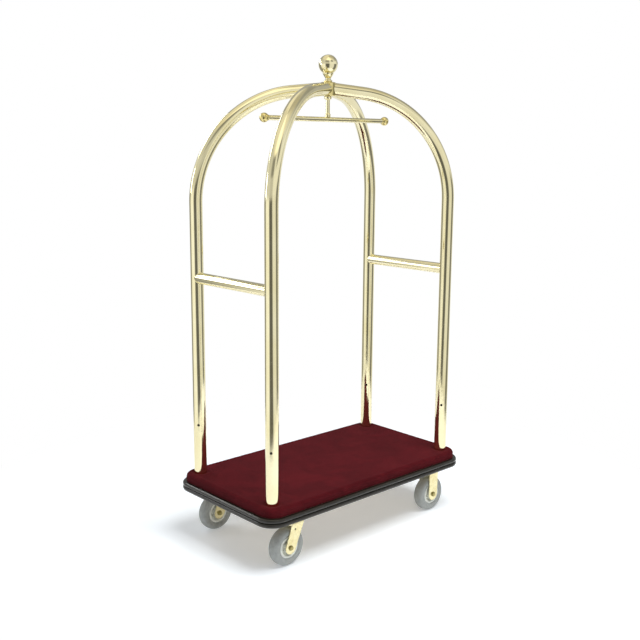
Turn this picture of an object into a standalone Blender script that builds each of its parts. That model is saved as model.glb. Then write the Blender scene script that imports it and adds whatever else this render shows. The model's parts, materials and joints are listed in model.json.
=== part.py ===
"""Hotel luggage cart of the birdcage kind: a carpeted deck on four casters, under two crossed brass hoops.

Metres, +Z up. The origin is on the floor under the middle of the deck. +X is the front, where the rigid
casters are, and the swivel casters are at the rear. To someone facing +X, left is +Y.
"""

from math import acos, asin, atan2, cos, degrees, hypot, pi, radians, sin, sqrt, tan

import bmesh
import bpy
from mathutils import Matrix, Vector

GAP = 0.0003  # kept between pieces that touch
CUT_PAST = 0.01  # how far a cutter reaches past what it cuts
FULL_TURN = 2 * pi

# Deck, from the floor up
DECK_HALF_X = 0.550  # over the bumper
DECK_HALF_Y = 0.3025
DECK_CORNER = 0.074
BUMPER_DEPTH = 0.016
BOARD_BOTTOM = 0.192
BOARD_TOP = 0.228
PANEL_TOP = 0.252
CARPET_TOP = 0.262
CARPET_REVEAL = 0.014  # how far the bumper stands out past the carpet's side
CARPET_THICKNESS = 0.006
CARPET_ROUNDING = 0.016

# Hoops
LEG_X = 0.478
LEG_Y = 0.2275
TUBE_RADIUS = 0.0254
TUBE_WALL = 0.0015
HOOP_SPRING = 1.3465  # height where each bend begins
HOOP_BEND = 0.428  # centre line radius of each bend
BEND_ANGLE = 84  # degrees; past it the tube climbs straight to the crown
BEND_STEPS = 9
RAIL_HEIGHT = 1.058
RAIL_RADIUS = 0.0222
HALF_DIAGONAL = hypot(LEG_X, LEG_Y)
HOOP_ANGLE = atan2(LEG_Y, LEG_X)
BEND_END = HALF_DIAGONAL - HOOP_BEND * (1 - cos(radians(BEND_ANGLE)))
CLIMB = BEND_END * tan(radians(90 - BEND_ANGLE))
HOOP_TOP = HOOP_SPRING + HOOP_BEND * sin(radians(BEND_ANGLE)) + CLIMB  # centre line at the crown

# Leg fixings
SPIGOT_RADIUS = 0.0228
SPIGOT_BORE = 0.0195
SPIGOT_TOP = 0.488
SPIGOT_BASE = 0.015  # thickness of its closed foot
STUD_RADIUS = 0.0058
STUD_HOLE_RADIUS = 0.0066
STUD_END = 0.004  # how far the stud's end stands out of its nut
NUT_HEIGHT = 0.012
NUT_RADIUS = 0.0108  # across its corners
FLANGE_RADIUS = 0.0145
FLANGE_HEIGHT = 0.003
LOCK_SCREW_HEIGHT = 0.466
LOCK_SCREW_BEARING = 222  # degrees from +X: all four screws face the same way
LOCK_HOLE_RADIUS = 0.0034
LEG_HOLE_RADIUS = 0.0262

# Crown, finial and garment hanger
HUB_RADIUS = 0.031
HUB_HALF_HEIGHT = 0.0265
HUB_CENTRE = HOOP_TOP - 0.0025
ROD_RADIUS = 0.006
ROD_BORE = 0.0064
ROD_LOW = 1.699
ROD_HIGH = 1.858
BALL_CENTRE = 1.8785
BALL_RADIUS = 0.038
HANGER_HEIGHT = 1.669
HANGER_RADIUS = 0.0095
HANGER_HALF_LENGTH = 0.3235  # to the centre of the ball ends
HANGER_WALL = 0.0012
HANGER_BALL_RADIUS = 0.018
STEM_RADIUS = 0.008
COLLAR_RADIUS = 0.015
COLLAR_HEIGHT = 0.0095
SHOULDER = 0.0149  # from a ball end's centre to the rail's end
SPUR_END = 0.040
SPUR_RADIUS = 0.0076

# Casters
WHEEL_RADIUS = 0.075
TYRE_HALF_WIDTH = 0.024
RIM_RADIUS = 0.044  # where the rubber meets the wheel's moulded core
HUB_HALF_WIDTH = 0.0255
AXLE_X = 0.410
AXLE_Y = 0.225
TRAIL = 0.040  # the axle of a swivel caster trails its kingpin by this
AXLE_RADIUS = 0.005
SLEEVE_RADIUS = 0.0076
HEXAGON_RADIUS = 0.0092  # of the axle's bolt head and nut, across their corners
BOLT_HEAD = 0.006
BOLT_END = 0.012  # how far the bolt's shank runs past the fork, through its nut
AXLE_NUT = 0.0085
FORK_HALF_GAP = 0.027
FORK_SHEET = 0.003
PLATE_HALF_X = 0.050
PLATE_HALF_Y = 0.0425
PLATE_THICKNESS = 0.0035
PLATE_TOP = BOARD_BOTTOM - GAP
PLATE_BOTTOM = PLATE_TOP - PLATE_THICKNESS
PLATE_SCREW_X = 0.040
PLATE_SCREW_Y = 0.031
PLATE_HOLE_RADIUS = 0.0044
KINGPIN_RADIUS = 0.007
RACE_RADIUS = 0.033
BEARING_BALL_RADIUS = 0.004
BEARING_PITCH_RADIUS = 0.024
BEARING_BALLS = 8
CROWN_TOP = 0.1732  # top of the swivel fork's crown, which the bearing balls run on
CROWN_BOTTOM = 0.1697
SWIVEL_LEG_HALF = 0.029  # half the width of a swivel fork's leg at its top
SWIVEL_LEG_END = 0.0245  # radius of its round end
RIGID_LEG_HALF = 0.027
RIGID_LEG_SHIFT = 0.003  # how far its top stands forward of the axle
RIGID_LEG_END = 0.026
LIGHTENING_HOLE = (0.004, -0.018, 0.144)  # radius, x and z, in the swivel fork's legs
INSET = 0.0002  # keeps the faces of joined pieces apart, so that no two lie in one plane

COARSE = 12
ROUND = 16
FINE = 20

SIDES = {"left": 1, "right": -1}
ENDS = {"front": 1, "rear": -1}


# ---------------------------------------------------------------- scene and materials


def clear_scene():
    for obj in list(bpy.data.objects):
        bpy.data.objects.remove(obj)


def new_collection(name):
    collection = bpy.data.collections.new(name)
    bpy.context.scene.collection.children.link(collection)
    return collection


def new_material(name, colour, metallic, roughness):
    material = bpy.data.materials.new(name)
    material.use_nodes = True
    shader = material.node_tree.nodes["Principled BSDF"]
    shader.inputs["Base Color"].default_value = (*colour, 1)
    shader.inputs["Metallic"].default_value = metallic
    shader.inputs["Roughness"].default_value = roughness
    return material


clear_scene()
CART = new_collection("luggage_cart")
CUTTERS = new_collection("cutters")
BRASS = new_material("polished_brass", (0.86, 0.72, 0.42), 1.0, 0.12)
PLATED = new_material("brass_plated_steel", (0.80, 0.70, 0.42), 1.0, 0.28)
STEEL = new_material("zinc_plated_steel", (0.60, 0.60, 0.60), 1.0, 0.35)
CARPET = new_material("red_carpet", (0.16, 0.012, 0.018), 0.0, 0.95)
VINYL = new_material("black_vinyl", (0.012, 0.012, 0.011), 0.0, 0.35)
PLYWOOD = new_material("plywood", (0.42, 0.28, 0.16), 0.0, 0.7)
RUBBER = new_material("grey_rubber", (0.30, 0.31, 0.31), 0.0, 0.6)
HUB_PLASTIC = new_material("light_grey_plastic", (0.58, 0.58, 0.55), 0.0, 0.45)


# ---------------------------------------------------------------- modelling tools


def helper(mesh, name="cutter", matrix=None):
    """An object that only shapes others: it is not a part."""
    obj = bpy.data.objects.new(name, mesh)
    CUTTERS.objects.link(obj)
    obj.hide_render = True
    obj.display_type = "WIRE"
    obj.matrix_world = matrix or Matrix()
    return obj


def baked(obj):
    """The object's mesh with its modifiers applied. The object is removed."""
    bpy.context.view_layer.update()
    evaluated = obj.evaluated_get(bpy.context.evaluated_depsgraph_get())
    mesh = bpy.data.meshes.new_from_object(evaluated)
    bpy.data.objects.remove(obj)
    work = bmesh.new()
    work.from_mesh(mesh)
    bmesh.ops.remove_doubles(work, verts=work.verts, dist=1e-6)
    work.to_mesh(mesh)
    work.free()
    return mesh


def turned(profile, steps, closed=True):
    """A mesh turned about Z. The profile is (radius, z) and runs down its outer side."""
    count = len(profile)
    edges = [(i, (i + 1) % count) for i in range(count if closed else count - 1)]
    mesh = bpy.data.meshes.new("turned")
    mesh.from_pydata([(r, 0, z) for r, z in profile], edges, [])
    obj = helper(mesh)
    screw = obj.modifiers.new("turn", "SCREW")
    screw.angle = FULL_TURN
    screw.steps = screw.render_steps = steps
    screw.use_merge_vertices = True
    screw.merge_threshold = 0.00001
    return baked(obj)


def cylinder(radius, low, high, sides=ROUND):
    """A cylinder about Z between two heights."""
    work = bmesh.new()
    bmesh.ops.create_cone(
        work, cap_ends=True, segments=sides, radius1=radius, radius2=radius, depth=high - low
    )
    bmesh.ops.translate(work, verts=work.verts, vec=(0, 0, (low + high) / 2))
    mesh = bpy.data.meshes.new("cylinder")
    work.to_mesh(mesh)
    work.free()
    return mesh


def block(low, high, corner=0.0, corner_steps=5, top_rounding=0.0):
    """A box between two corners, with rounded upright edges and a rounded top edge."""
    low, high = Vector(low), Vector(high)
    work = bmesh.new()
    bmesh.ops.create_cube(work, size=1)
    bmesh.ops.scale(work, verts=work.verts, vec=high - low)
    bmesh.ops.translate(work, verts=work.verts, vec=(low + high) / 2)
    if corner:
        upright = [e for e in work.edges if abs(e.verts[0].co.z - e.verts[1].co.z) > 1e-6]
        bmesh.ops.bevel(
            work, geom=upright, offset=corner, segments=corner_steps, affect="EDGES", profile=0.5
        )
    if top_rounding:
        rim = [e for e in work.edges if min(v.co.z for v in e.verts) > high.z - 1e-6]
        bmesh.ops.bevel(
            work, geom=rim, offset=top_rounding, segments=3, affect="EDGES", profile=0.5
        )
    mesh = bpy.data.meshes.new("block")
    work.to_mesh(mesh)
    work.free()
    return mesh


def poly_curve(points, cyclic, dimensions="3D"):
    """Curve data of one straight-sided spline."""
    curve = bpy.data.curves.new("path", "CURVE")
    curve.dimensions = dimensions
    spline = curve.splines.new("POLY")
    spline.points.add(len(points) - 1)
    for point, place in zip(spline.points, points):
        point.co = (*place, *([0] * (3 - len(place))), 1)
    spline.use_cyclic_u = cyclic
    return curve


def tube(points, radius, wall, sides=COARSE):
    """A hollow tube along a line of points."""
    curve = poly_curve(points, cyclic=False)
    curve.bevel_depth = radius
    curve.bevel_resolution = (sides - 4) // 2
    skin = baked(helper(curve))
    obj = helper(skin)
    solidify = obj.modifiers.new("wall", "SOLIDIFY")
    solidify.thickness = wall
    solidify.offset = -1
    return baked(obj)


def sheet(outline, thickness, matrix):
    """A flat outline of (x, y) points, with its thickness centred on the matrix's XY plane."""
    curve = poly_curve(outline, cyclic=True, dimensions="2D")
    curve.fill_mode = "BOTH"
    curve.extrude = thickness / 2
    mesh = baked(helper(curve))
    mesh.transform(matrix)
    return mesh


def swept_ring(profile, path):
    """An anticlockwise (outward, z) profile, carried anticlockwise round a path in the XY plane."""
    section = helper(poly_curve(profile[::-1], cyclic=True, dimensions="2D"), "section")
    curve = poly_curve(path, cyclic=True)
    curve.twist_mode = "Z_UP"
    curve.bevel_mode = "OBJECT"
    curve.bevel_object = section
    mesh = baked(helper(curve))
    bpy.data.objects.remove(section)
    return mesh


def combined(mesh, others, operation):
    """The mesh after a Boolean with each (mesh, matrix) in others."""
    obj = helper(mesh)
    tools = [helper(other, matrix=matrix) for other, matrix in others]
    for tool in tools:
        boolean = obj.modifiers.new("boolean", "BOOLEAN")
        boolean.operation = operation
        boolean.object = tool
    result = baked(obj)
    for tool in tools:
        bpy.data.objects.remove(tool)
    return result


def cut(mesh, cutters):
    return combined(mesh, cutters, "DIFFERENCE")


def joined(mesh, others):
    return combined(mesh, others, "UNION")


def pattern(mesh, matrices):
    """One mesh of several separate copies."""
    work = bmesh.new()
    for matrix in matrices:
        copy = mesh.copy()
        copy.transform(matrix)
        work.from_mesh(copy)
        bpy.data.meshes.remove(copy)
    group = bpy.data.meshes.new("pattern")
    work.to_mesh(group)
    work.free()
    return group


def move(x=0.0, y=0.0, z=0.0):
    return Matrix.Translation((x, y, z))


def turn(degrees, axis):
    return Matrix.Rotation(radians(degrees), 4, axis)


def add_part(name, mesh, material, parent=None, matrix=None):
    """Adds a named part. Its place is given in its parent's axes."""
    mesh.name = name
    obj = bpy.data.objects.new(name, mesh)
    CART.objects.link(obj)
    obj.parent = parent
    obj.matrix_local = matrix or Matrix()
    mesh.materials.clear()
    mesh.materials.append(material)
    mesh.shade_smooth()
    mesh.set_sharp_from_angle(angle=radians(40))
    return obj


def add_axis(name, place, parent=None):
    """An empty that moving parts hang from."""
    empty = bpy.data.objects.new(name, None)
    CART.objects.link(empty)
    empty.parent = parent
    empty.location = place
    return empty


def arc(centre_x, centre_y, radius, start, end, steps):
    """Points on an arc, in degrees, both ends included."""
    angles = [radians(start + (end - start) * i / steps) for i in range(steps + 1)]
    return [(centre_x + radius * cos(a), centre_y + radius * sin(a)) for a in angles]


def rounded_rectangle(half_x, half_y, corner, steps=5):
    """Points round a rectangle with rounded corners, anticlockwise."""
    points = []
    for quarter, (sx, sy) in enumerate([(1, 1), (-1, 1), (-1, -1), (1, -1)]):
        centre = (sx * (half_x - corner), sy * (half_y - corner))
        points += arc(*centre, corner, quarter * 90, quarter * 90 + 90, steps)
    return points


def corners(x, y):
    """The four (x, y) places of something that stands in each corner."""
    return [(sx * x, sy * y) for sx in ENDS.values() for sy in SIDES.values()]


# ---------------------------------------------------------------- deck


BOARD_HALF_X = DECK_HALF_X - BUMPER_DEPTH
BOARD_HALF_Y = DECK_HALF_Y - BUMPER_DEPTH
BOARD_CORNER = DECK_CORNER - BUMPER_DEPTH
BUMPER_TONGUE = 0.009
BUMPER_TONGUE_HALF = 0.0015
BUMPER_MIDDLE = (BOARD_BOTTOM + BOARD_TOP) / 2
GROOVE_SLACK = 0.001
BUMPER_WEB = 0.004  # thickness between the two ribs
BUMPER_NOTCH = 0.0006
RIB_STEPS = 4


def bumper_path():
    """The board's outline at half its height, which the bumper and its groove follow."""
    outline = rounded_rectangle(BOARD_HALF_X, BOARD_HALF_Y, BOARD_CORNER)
    return [(x, y, BUMPER_MIDDLE) for x, y in outline]


def make_board():
    """The load-bearing plywood board, grooved round its edge for the bumper's tongue."""
    low, high = BOARD_BOTTOM, BOARD_TOP
    board = block((-BOARD_HALF_X, -BOARD_HALF_Y, low), (BOARD_HALF_X, BOARD_HALF_Y, high), BOARD_CORNER)
    depth = BUMPER_TONGUE + GROOVE_SLACK
    half = BUMPER_TONGUE_HALF + GROOVE_SLACK / 2
    groove = [(-depth, -half), (CUT_PAST, -half), (CUT_PAST, half), (-depth, half)]
    stud_hole = cylinder(STUD_HOLE_RADIUS, low - CUT_PAST, high + CUT_PAST, COARSE)
    cutters = [(swept_ring(groove, bumper_path()), None)]
    cutters += [(stud_hole, move(x, y)) for x, y in corners(LEG_X, LEG_Y)]
    add_part("base_board", cut(board, cutters), PLYWOOD)


def make_panel():
    """The plywood panel that the carpet is stretched over."""
    inset = CARPET_REVEAL + CARPET_THICKNESS + GAP
    half_x, half_y = DECK_HALF_X - inset, DECK_HALF_Y - inset
    low = BOARD_TOP + GAP
    panel = block((-half_x, -half_y, low), (half_x, half_y, PANEL_TOP), DECK_CORNER - inset)
    hole = cylinder(LEG_HOLE_RADIUS, low - CUT_PAST, PANEL_TOP + CUT_PAST)
    add_part("top_panel", cut(panel, [(hole, move(x, y)) for x, y in corners(LEG_X, LEG_Y)]), PLYWOOD)


def make_carpet():
    """The carpet, which covers the panel's top and sides."""
    half_x, half_y = DECK_HALF_X - CARPET_REVEAL, DECK_HALF_Y - CARPET_REVEAL
    corner = DECK_CORNER - CARPET_REVEAL
    low = BOARD_TOP + GAP
    outer = block(
        (-half_x, -half_y, low),
        (half_x, half_y, CARPET_TOP),
        corner,
        top_rounding=CARPET_ROUNDING,
    )
    inner_x, inner_y = half_x - CARPET_THICKNESS, half_y - CARPET_THICKNESS
    cavity = block(
        (-inner_x, -inner_y, low - CUT_PAST),
        (inner_x, inner_y, PANEL_TOP + GAP),
        corner - CARPET_THICKNESS,
    )
    hole = cylinder(LEG_HOLE_RADIUS, low, CARPET_TOP + CUT_PAST)
    cutters = [(cavity, None)] + [(hole, move(x, y)) for x, y in corners(LEG_X, LEG_Y)]
    add_part("carpet", cut(outer, cutters), CARPET)


def rib_profile(middle):
    """The rounded outside of one rib of the bumper, from its lower edge up."""
    half = (BOARD_TOP - BOARD_BOTTOM) / 4
    swell = BUMPER_DEPTH - BUMPER_WEB
    angles = [radians(-90 + 180 * i / RIB_STEPS) for i in range(RIB_STEPS + 1)]
    return [(BUMPER_WEB + swell * cos(a), middle + (half - BUMPER_NOTCH) * sin(a)) for a in angles]


def make_bumper():
    """The vinyl bumper: two rounded ribs outside, and a tongue that grips the board's groove."""
    half = (BOARD_TOP - BOARD_BOTTOM) / 2
    tongue = [
        (GAP, BUMPER_TONGUE_HALF),
        (-BUMPER_TONGUE, BUMPER_TONGUE_HALF),
        (-BUMPER_TONGUE, -BUMPER_TONGUE_HALF),
        (GAP, -BUMPER_TONGUE_HALF),
    ]
    ribs = rib_profile(-half / 2) + rib_profile(half / 2)
    back = half - BUMPER_NOTCH
    profile = [(GAP, -back)] + ribs + [(GAP, back)] + tongue
    add_part("bumper", swept_ring(profile, bumper_path()), VINYL)


# ---------------------------------------------------------------- hoops and rails


def hoop_line():
    """Half a hoop's centre line, as (distance from the crown's axis, z), from the foot up."""
    centre = HALF_DIAGONAL - HOOP_BEND
    bend = arc(centre, HOOP_SPRING, HOOP_BEND, 0, BEND_ANGLE, BEND_STEPS)
    return [(HALF_DIAGONAL, BOARD_TOP + GAP)] + bend + [(0, HOOP_TOP)]


def lock_screw_matrix(sx, sy):
    """Turns +Z to point out through a leg's wall, at the place of its lock screw."""
    place = move(sx * LEG_X, sy * LEG_Y, LOCK_SCREW_HEIGHT)
    return place @ turn(LOCK_SCREW_BEARING, "Z") @ turn(90, "Y")


def lock_screw_drill():
    """A cutter that reaches from inside a leg's spigot to outside the leg."""
    return cylinder(LOCK_HOLE_RADIUS, SPIGOT_BORE - CUT_PAST, TUBE_RADIUS + CUT_PAST, 8)


def make_hoops():
    """Four bent tubes, each from the deck to the crown, mitred together where they meet the hub."""
    reach = TUBE_RADIUS + CUT_PAST
    hub = cylinder(HUB_RADIUS + GAP, HOOP_TOP - reach, HOOP_TOP + reach, FINE)
    drill = lock_screw_drill()
    for end, sx in ENDS.items():
        for side, sy in SIDES.items():
            direction = (sx * cos(HOOP_ANGLE), sy * sin(HOOP_ANGLE))
            line = [(d * direction[0], d * direction[1], z) for d, z in hoop_line()]
            y_low, y_high = sorted((sy * GAP / 2, -sy * reach))
            other_side = block(
                (-HOOP_BEND, y_low, HOOP_TOP - reach), (HOOP_BEND, y_high, HOOP_TOP + reach)
            )
            cutters = [(other_side, None), (hub, None), (drill, lock_screw_matrix(sx, sy))]
            mesh = cut(tube(line, TUBE_RADIUS, TUBE_WALL), cutters)
            add_part(f"hoop_tube_{end}_{side}", mesh, BRASS)


def make_end_rails():
    """A level rail between the two legs at each end, coped to fit round them."""
    above = RAIL_RADIUS + CUT_PAST
    leg = cylinder(TUBE_RADIUS + GAP, RAIL_HEIGHT - above, RAIL_HEIGHT + above, FINE)
    for end, sx in ENDS.items():
        x = sx * LEG_X
        reach = LEG_Y - TUBE_RADIUS + CUT_PAST
        line = [(x, -reach, RAIL_HEIGHT), (x, reach, RAIL_HEIGHT)]
        ends = [(leg, move(x, sy * LEG_Y)) for sy in SIDES.values()]
        mesh = cut(tube(line, RAIL_RADIUS, TUBE_WALL), ends)
        add_part(f"end_rail_{end}", mesh, BRASS)


def make_leg_fixings():
    """In each leg's foot, a spigot whose threaded stud goes down through the board to a flanged nut."""
    low = BOARD_TOP + GAP
    nut_top = BOARD_BOTTOM - GAP
    spigot = turned(
        [
            (0, low + SPIGOT_BASE),
            (SPIGOT_BORE, low + SPIGOT_BASE),
            (SPIGOT_BORE, SPIGOT_TOP),
            (SPIGOT_RADIUS, SPIGOT_TOP),
            (SPIGOT_RADIUS, low),
            (STUD_RADIUS, low),
            (STUD_RADIUS, nut_top - NUT_HEIGHT - STUD_END),
            (0, nut_top - NUT_HEIGHT - STUD_END),
        ],
        ROUND,
        closed=False,
    )
    flange = cylinder(FLANGE_RADIUS, nut_top - FLANGE_HEIGHT, nut_top)
    hexagon = cylinder(NUT_RADIUS, nut_top - NUT_HEIGHT, nut_top - FLANGE_HEIGHT / 2, 6)
    bore = cylinder(STUD_RADIUS + GAP, nut_top - NUT_HEIGHT - CUT_PAST, nut_top + CUT_PAST)
    nut = cut(joined(flange, [(hexagon, None)]), [(bore, None)])
    drill = lock_screw_drill()
    for end, sx in ENDS.items():
        for side, sy in SIDES.items():
            place = move(sx * LEG_X, sy * LEG_Y)
            drilled = cut(pattern(spigot, [place]), [(drill, lock_screw_matrix(sx, sy))])
            drilled.transform(place.inverted())
            add_part(f"leg_spigot_{end}_{side}", drilled, STEEL, matrix=place)
            add_part(f"leg_nut_{end}_{side}", nut.copy(), STEEL, matrix=place)


# ---------------------------------------------------------------- crown, finial and hanger


def make_crown():
    """The hub that the hoops meet at, and the rod that ties the finial and the hanger to it."""
    low, high = HUB_CENTRE - HUB_HALF_HEIGHT, HUB_CENTRE + HUB_HALF_HEIGHT
    hub = turned(
        [
            (ROD_BORE, high),
            (HUB_RADIUS - 0.003, high),
            (HUB_RADIUS, high - 0.002),
            (HUB_RADIUS, low + 0.002),
            (HUB_RADIUS - 0.003, low),
            (ROD_BORE, low),
        ],
        FINE,
    )
    add_part("crown_hub", hub, BRASS)
    add_part("crown_rod", cylinder(ROD_RADIUS, ROD_LOW, ROD_HIGH, COARSE), STEEL)


def make_finial():
    """A turned base with a cup, and the hollow ball that sits in it."""
    base = HUB_CENTRE + HUB_HALF_HEIGHT + GAP
    seat_radius = BALL_RADIUS + 3 * GAP
    seat = [(r, BALL_CENTRE - sqrt(seat_radius**2 - r**2)) for r in (ROD_BORE, 0.012, 0.0195)]
    rim = seat[-1][1]
    turning = seat + [
        (0.0210, rim + 0.0002),
        (0.0205, rim - 0.005),
        (0.0135, base + 0.019),
        (0.0105, base + 0.014),
        (0.0105, base + 0.011),
        (0.0140, base + 0.008),
        (0.0168, base + 0.006),
        (0.0168, base + 0.002),
        (0.0155, base),
        (ROD_BORE, base),
    ]
    add_part("finial_base", turned(turning, FINE), BRASS)

    hollow = BALL_RADIUS - TUBE_WALL
    mouth = degrees(asin(ROD_BORE / BALL_RADIUS))
    inner_mouth = degrees(asin(ROD_BORE / hollow))
    outer = arc(0, BALL_CENTRE, BALL_RADIUS, 90, -90 + mouth, 10)
    inner = arc(0, BALL_CENTRE, hollow, -90 + inner_mouth, 90, 6)
    outer[0] = (0, BALL_CENTRE + BALL_RADIUS)
    inner[-1] = (0, BALL_CENTRE + hollow)
    add_part("finial_ball", turned(outer + inner, FINE, closed=False), BRASS)


def make_hanger():
    """The garment rail, which hangs from the hub on a short stem."""
    stem_top = HUB_CENTRE - HUB_HALF_HEIGHT - GAP
    stem = [
        (0, stem_top),
        (COLLAR_RADIUS, stem_top),
        (COLLAR_RADIUS, stem_top - COLLAR_HEIGHT),
        (STEM_RADIUS, stem_top - COLLAR_HEIGHT - 0.003),
        (STEM_RADIUS, HANGER_HEIGHT),
        (0, HANGER_HEIGHT),
    ]
    stem_mesh = turned(stem, ROUND, closed=False)
    rod_hole = cylinder(ROD_BORE, ROD_LOW - 0.002, stem_top + CUT_PAST, COARSE)
    rail_cope = cylinder(HANGER_RADIUS + GAP, -COLLAR_RADIUS, COLLAR_RADIUS, ROUND)
    across = move(z=HANGER_HEIGHT) @ turn(90, "Y")
    stem_mesh = cut(stem_mesh, [(rod_hole, None), (rail_cope, across)])
    add_part("hanger_stem", stem_mesh, BRASS)

    shoulder = HANGER_HALF_LENGTH - SHOULDER - GAP
    line = [(-shoulder, 0, HANGER_HEIGHT), (shoulder, 0, HANGER_HEIGHT)]
    add_part("hanger_rail", tube(line, HANGER_RADIUS, HANGER_WALL), BRASS)
    ball = [(0, HANGER_BALL_RADIUS + 0.002), (0.0035, HANGER_BALL_RADIUS + 0.0012)]
    ball += arc(0, 0, HANGER_BALL_RADIUS, 74, -54, 8)
    ball += [(0.0100, -SHOULDER), (SPUR_RADIUS, -SHOULDER), (SPUR_RADIUS, -SPUR_END), (0, -SPUR_END)]
    ball_mesh = turned(ball, COARSE, closed=False)
    for end, sx in ENDS.items():
        place = move(sx * HANGER_HALF_LENGTH, 0, HANGER_HEIGHT) @ turn(sx * 90, "Y")
        add_part(f"hanger_ball_{end}", ball_mesh.copy(), BRASS, matrix=place)


# ---------------------------------------------------------------- casters


def make_wheel_meshes():
    """The tyre and the hub of a wheel, turned about Z and then laid over to spin about Y."""
    half = TYRE_HALF_WIDTH
    tread = [
        (RIM_RADIUS, half - 0.0035),
        (WHEEL_RADIUS - 0.015, half),
        (WHEEL_RADIUS - 0.0065, half - 0.0030),
        (WHEEL_RADIUS - 0.0018, half - 0.0090),
        (WHEEL_RADIUS, half - 0.0175),
    ]
    tyre = tread + [(r, -z) for r, z in reversed(tread)]
    face = [
        (0.0081, HUB_HALF_WIDTH),
        (0.0165, HUB_HALF_WIDTH),
        (0.0185, 0.0080),
        (0.0260, 0.0070),
        (0.0340, 0.0185),
        (RIM_RADIUS - GAP, half - 0.0040),
    ]
    hub = face + [(r, -z) for r, z in reversed(face)]
    lay = turn(90, "X")
    meshes = turned(tyre, FINE), turned(hub, FINE)
    for mesh in meshes:
        mesh.transform(lay)
    return meshes


def tangent_outline(top_low_x, top_high_x, top_z, axle_x, axle_z, end_radius):
    """A fork leg's outline in (x, z): a straight top, and sides that run tangent to a round end."""
    outline = [(top_high_x, top_z), (top_low_x, top_z)]
    angles = []
    for x, turn_sign in ((top_low_x, 1), (top_high_x, -1)):
        dx, dz = x - axle_x, top_z - axle_z
        swing = acos(end_radius / hypot(dx, dz))
        angles.append(degrees(atan2(dz, dx) + turn_sign * swing))
    start, end = angles
    end += 360 if end < start else 0
    return outline + arc(axle_x, axle_z, end_radius, start, end, 8)


def fork_legs(outline):
    """The two legs of a fork, one each side of the wheel."""
    middle = FORK_HALF_GAP + FORK_SHEET / 2
    lay = turn(90, "X")
    return [sheet(outline, FORK_SHEET, move(y=sy * middle) @ lay) for sy in (1, -1)]


def drill_across(radius, x, z):
    """A cutter along Y through both legs of a fork."""
    reach = FORK_HALF_GAP + CUT_PAST
    return cylinder(radius, -reach, reach, COARSE), move(x, 0, z) @ turn(90, "X")


def swivel_fork_mesh():
    """A leaning fork about the kingpin's axis: two legs under a round crown."""
    half, top = SWIVEL_LEG_HALF, CROWN_TOP - INSET
    outline = tangent_outline(-half, half, top, -TRAIL, WHEEL_RADIUS, SWIVEL_LEG_END)
    legs = fork_legs(outline)
    outer = FORK_HALF_GAP + FORK_SHEET - INSET
    web = block((INSET - half, -outer, CROWN_BOTTOM + INSET), (half - INSET, outer, top - INSET))
    crown = cylinder(RACE_RADIUS, CROWN_BOTTOM, CROWN_TOP, FINE)
    fork = joined(crown, [(web, None), (legs[0], None), (legs[1], None)])
    pin_radius = KINGPIN_RADIUS + 2 * GAP
    pin_hole = cylinder(pin_radius, CROWN_BOTTOM - CUT_PAST, CROWN_TOP + CUT_PAST, ROUND)
    holes = [(pin_hole, None), drill_across(AXLE_RADIUS + GAP, -TRAIL, WHEEL_RADIUS)]
    holes.append(drill_across(*LIGHTENING_HOLE))
    return cut(fork, holes)


def rigid_fork_mesh():
    """An upright fork: a bridge under the plate, with a leg each side."""
    half, top = RIGID_LEG_HALF, PLATE_BOTTOM - GAP
    back, front = RIGID_LEG_SHIFT - half, RIGID_LEG_SHIFT + half
    legs = fork_legs(tangent_outline(back, front, top, 0, WHEEL_RADIUS, RIGID_LEG_END))
    reach = FORK_HALF_GAP + FORK_SHEET / 2
    bridge = block((back + INSET, -reach, top - FORK_SHEET), (front - INSET, reach, top - INSET))
    fork = joined(legs[0], [(bridge, None), (legs[1], None)])
    return cut(fork, [drill_across(AXLE_RADIUS + GAP, 0, WHEEL_RADIUS)])


def plate_mesh(kingpin_hole):
    """A caster's top plate with its four screw holes."""
    plate = block(
        (-PLATE_HALF_X, -PLATE_HALF_Y, PLATE_BOTTOM), (PLATE_HALF_X, PLATE_HALF_Y, PLATE_TOP), 0.010, 2
    )
    low, high = PLATE_BOTTOM - CUT_PAST, PLATE_TOP + CUT_PAST
    hole = cylinder(PLATE_HOLE_RADIUS, low, high, 8)
    cutters = [(hole, move(x, y)) for x, y in corners(PLATE_SCREW_X, PLATE_SCREW_Y)]
    if kingpin_hole:
        cutters.append((cylinder(KINGPIN_RADIUS + GAP, low, high, ROUND), None))
    return cut(plate, cutters)


def race_mesh():
    """The pressed cup under the plate, which runs on the balls and covers them."""
    top = PLATE_BOTTOM - GAP
    ball_top = CROWN_TOP + GAP + 2 * BEARING_BALL_RADIUS
    return turned(
        [
            (0.0120, top),
            (RACE_RADIUS - 0.002, top),
            (RACE_RADIUS, top - 0.003),
            (RACE_RADIUS, CROWN_TOP + 0.0008),
            (RACE_RADIUS - 0.003, CROWN_TOP + 0.0008),
            (RACE_RADIUS - 0.003, ball_top + GAP),
            (0.0120, ball_top + GAP),
        ],
        ROUND,
    )


def bearing_mesh():
    """The ring of balls between the fork's crown and the race, held by a flat cage."""
    height = CROWN_TOP + GAP + BEARING_BALL_RADIUS
    cage = turned(
        [
            (BEARING_PITCH_RADIUS - 0.003, height + 0.0006),
            (BEARING_PITCH_RADIUS + 0.003, height + 0.0006),
            (BEARING_PITCH_RADIUS + 0.003, height - 0.0006),
            (BEARING_PITCH_RADIUS - 0.003, height - 0.0006),
        ],
        FINE,
    )
    work = bmesh.new()
    bmesh.ops.create_uvsphere(work, u_segments=6, v_segments=4, radius=BEARING_BALL_RADIUS)
    ball = bpy.data.meshes.new("ball")
    work.to_mesh(ball)
    work.free()
    step = 360 / BEARING_BALLS
    places = [turn(i * step, "Z") @ move(BEARING_PITCH_RADIUS, 0, height) for i in range(BEARING_BALLS)]
    return joined(cage, [(pattern(ball, places), None)])


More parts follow.
